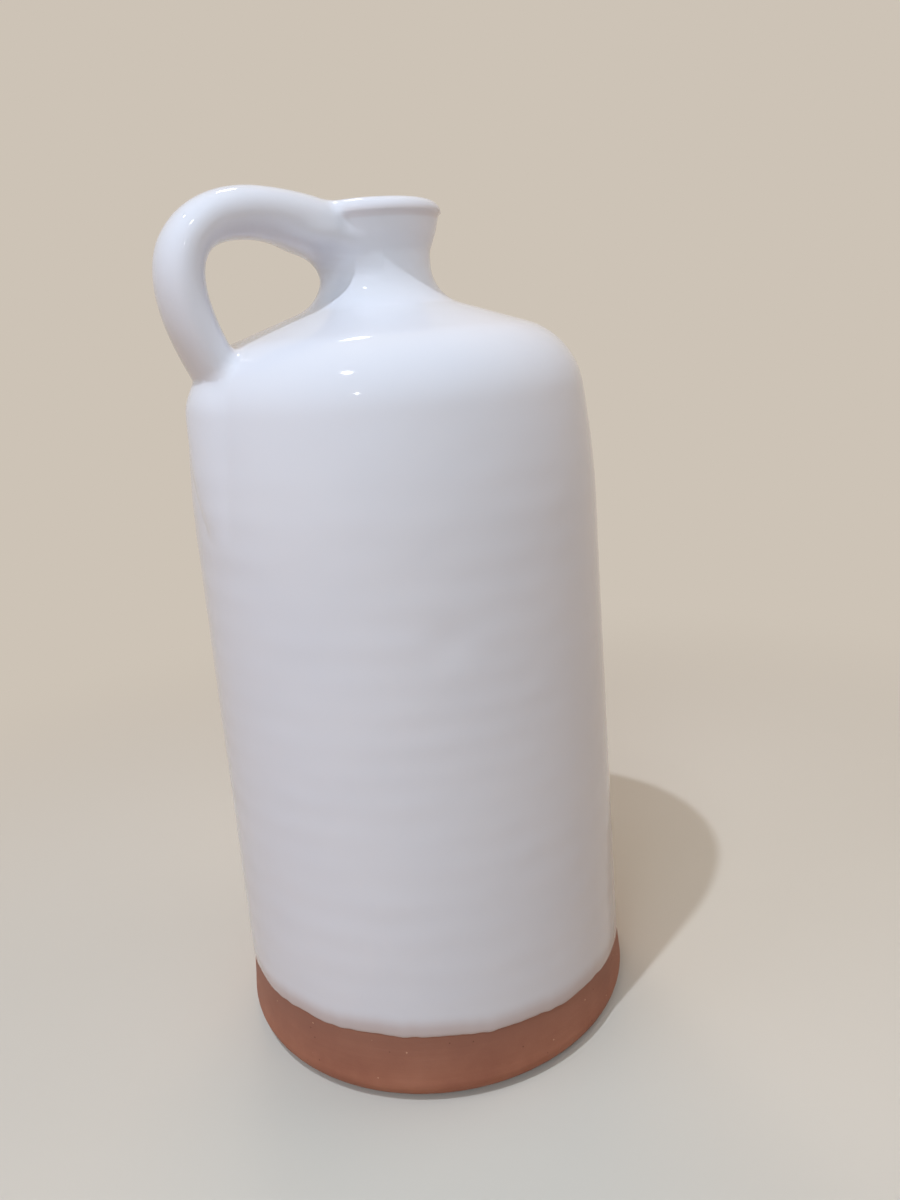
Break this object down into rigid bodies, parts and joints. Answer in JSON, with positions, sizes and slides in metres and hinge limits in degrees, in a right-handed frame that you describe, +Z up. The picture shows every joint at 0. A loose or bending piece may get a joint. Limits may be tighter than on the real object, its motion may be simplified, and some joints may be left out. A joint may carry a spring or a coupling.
{
  "type": "ceramic bottle",
  "caption": "Tall white-glazed earthenware bottle with a short flared neck, a pulled strap handle and a bare terracotta foot band.",
  "frame": {"origin": "middle of the flat foot, on the throwing axis, on the surface the bottle stands on", "axes": "+Z up the neck's axis; the strap handle stands out toward -X; +Y is one side of the handle's plane"},
  "size_m": [0.138, 0.138, 0.2767],
  "materials": {
    "terracotta": "unglazed fired red earthenware, matte, with fine grog",
    "joining_slip": "fired red slip, matte",
    "white_glaze": "opaque white tin-type glaze, glossy"
  },
  "bodies": {
    "root": {"thrown_body": "terracotta", "strap_handle": "terracotta", "upper_joint_slip": "joining_slip", "lower_joint_slip": "joining_slip", "outer_glaze": "white_glaze", "inner_glaze": "white_glaze"}
  },
  "joints": []
}
